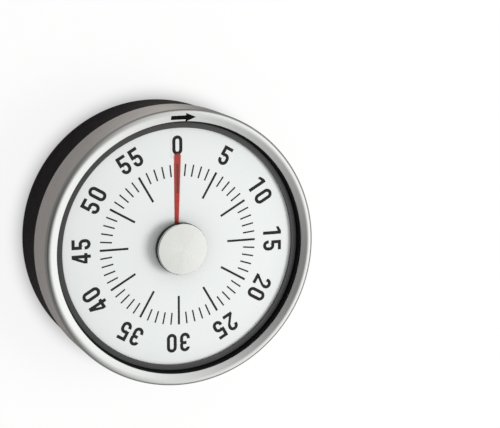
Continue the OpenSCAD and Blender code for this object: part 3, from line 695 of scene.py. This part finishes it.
def thicken(mesh, thickness):
    """Gives a nearly level sheet its thickness, upwards when it is positive."""
    bmesh.ops.remove_doubles(mesh, verts=mesh.verts, dist=1e-3)
    bmesh.ops.recalc_face_normals(mesh, faces=mesh.faces)
    grown = bmesh.ops.extrude_face_region(mesh, geom=list(mesh.faces))["geom"]
    grown_verts = [part for part in grown if isinstance(part, bmesh.types.BMVert)]
    bmesh.ops.translate(mesh, vec=(0, 0, thickness), verts=grown_verts)


slit_radii = (hub_r - 1, hub_r + 0.3, 8, 12, 16, 20, slit_end_r)
slit_row = [(-slit_x, math.sqrt(r * r - slit_x * slit_x)) for r in slit_radii]
cut_radii = (cut_start_r, 29, dial_r)
cut_row = [(-rim_cut_x, math.sqrt(r * r - rim_cut_x * rim_cut_x)) for r in cut_radii]
dial = bmesh.new()
wind(dial, sheet_row(dial, slit_row + cut_row), 360 - slit_gap, dial_steps)
thicken(dial, -dial_t)
placed(dial, "white_dial", dial_white, "root", "dial_disc", slot="dial_white")

# ---------------------------------------------------------------------------
# Hub and scale
# A small black moulded hub carries the dial on the post. Minute marks and
# numerals are screen-printed on the dial in black ink.
# ---------------------------------------------------------------------------
dress(moulded("hub_black", (0.02, 0.02, 0.022), 0.5), "dial_hub")
dress(printed("scale_ink", (0.017, 0.017, 0.018)), "minute_marks", "dial_numerals")

# ---------------------------------------------------------------------------
# Red film
# A clear red plastic film one turn and a little long, with a round-ended tab
# at its leading edge. Its key slides in the turntable, which carries it round.
# ---------------------------------------------------------------------------
film_red = Finish("film_red")
film_tint = film_red.mixed(film_red.noise(0.3, 2), (0.47, 0.23, 0.2), (0.53, 0.26, 0.23))
film_body = film_red.coat(
    Base_Color=film_tint, Roughness=0.36 + 0.06 * film_red.noise(2),
    Normal=film_red.bump(film_red.noise(4), 0.002),
)
film_clear = film_red.node("ShaderNodeBsdfTransparent", {}, {"Color": (0.9, 0.36, 0.33, 1)})
clear_share = 0.8
film_red.show(film_red.node("ShaderNodeMixShader", {}, {0: clear_share, 1: film_body, 2: film_clear}))

film_r = 23.6
film_inner_r = hub_r + 0.3
film_t = 0.15
film_lift = 0.1
film_turn = 374
film_lean = 0.04
tab_half = 0.92
tab_tip_r = 26.4
tab_centre = tab_tip_r - tab_half
tab_rounding = 0.96 * tab_half
film_steps = 300

film = bmesh.new()
film_rows = [film_inner_r + (film_r - film_inner_r) * k / 6 for k in range(7)]
film_row = [(-tab_half, math.sqrt(r * r - tab_half * tab_half)) for r in film_rows]
wind(film, sheet_row(film, film_row, film_lift), -film_turn, film_steps)
tab_row = sheet_row(film, film_row + [(-tab_half, tab_tip_r)], film_lift)
tab_edges = [part for part in tab_row if isinstance(part, bmesh.types.BMEdge)]
swept = bmesh.ops.extrude_edge_only(film, edges=tab_edges)["geom"]
lead_verts = [part for part in swept if isinstance(part, bmesh.types.BMVert)]
for vert in lead_verts:
    vert.co.x = tab_half - film_lean * max(0, tab_centre - vert.co.y)
    vert.co.z = face_z(vert.co.x, vert.co.y) + film_lift
corners = [v for v in film.verts if v.co.y > tab_tip_r - 0.01 and abs(v.co.x) < 2]
bmesh.ops.bevel(
    film, geom=corners, offset=tab_rounding, offset_type="OFFSET", segments=8, profile=0.5,
    affect="VERTICES", material=-1,
)
thicken(film, film_t)
placed(film, "red_film", film_red, "film", "countdown_film", slot="film_red")
dress(moulded("key_red", (0.45, 0.05, 0.04), 0.4), "film_key")

# ---------------------------------------------------------------------------
# Knob
# A black moulded button pressed on the fixed post over the dial's centre, with
# a turned stainless steel cap let into its top.
# ---------------------------------------------------------------------------
knob_black = moulded("knob_black", (0.004, 0.0036, 0.004), 0.4, 0.004, gloss=0.12)
turned_steel = Finish("turned_steel")
cap_x, cap_y, _ = turned_steel.xyz(turned_steel.place)
cap_radius = (cap_x * cap_x + cap_y * cap_y) ** 0.5
ring_place = turned_steel.vector(cap_x / cap_radius * 0.6, cap_y / cap_radius * 0.6, cap_radius * 8)
rings = turned_steel.noise(1, 4, ring_place)
# Painted sheen: the cap's tone rises and falls with bearing in soft sectors that stand for the fan-shaped
# highlights of a turned face. The rings are real turning marks.
sheen_sector_place = turned_steel.vector(cap_x / cap_radius * 2.2, cap_y / cap_radius * 2.2, 0)
painted_sheen_sectors = turned_steel.noise(1, 3, sheen_sector_place)
cap_tint = turned_steel.mixed(0.35 * rings + 0.65 * painted_sheen_sectors, (0.7, 0.71, 0.675), (0.85, 0.86, 0.825))
turned_steel.show(turned_steel.coat(
    Base_Color=cap_tint, Metallic=1, Roughness=0.22 + 0.1 * rings,
    Anisotropic=0.7, Normal=turned_steel.bump(rings, 0.002),
))

knob_r, knob_bottom, body_top = extent("knob_body")
cap_r, cap_bottom, cap_top = extent("knob_cap")
head_h = 2.6
head_bottom = cap_top - head_h
foot_r = hub_r - 0.4
post_hole_r = 1.12
button = bmesh.new()
turn(button, rounded([
    (post_hole_r, knob_bottom, 0), (foot_r, knob_bottom, 0), (foot_r, head_bottom - 0.2, 0.1),
    (hub_r, head_bottom, 0), (knob_r, head_bottom, 0.3), (knob_r, body_top, 0.08),
    (post_hole_r, body_top, 0),
], 5))
placed(button, "knob_button", knob_black, "root", "knob_body", slot="knob_black")
cap_crown = 0.22
crown_bits = 12
crown_shares = [k / crown_bits for k in range(crown_bits)]
crown = [(cap_r * share, cap_top - cap_crown * share ** 2, 0) for share in crown_shares]
cap = bmesh.new()
turn(cap, rounded([
    (0, cap_bottom, 0), (cap_r, cap_bottom, 0.05), (cap_r, cap_top - cap_crown, 0.3), *reversed(crown),
], 8), closed=False)
placed(cap, "knob_top", turned_steel, "root", "knob_cap", slot="knob_steel")
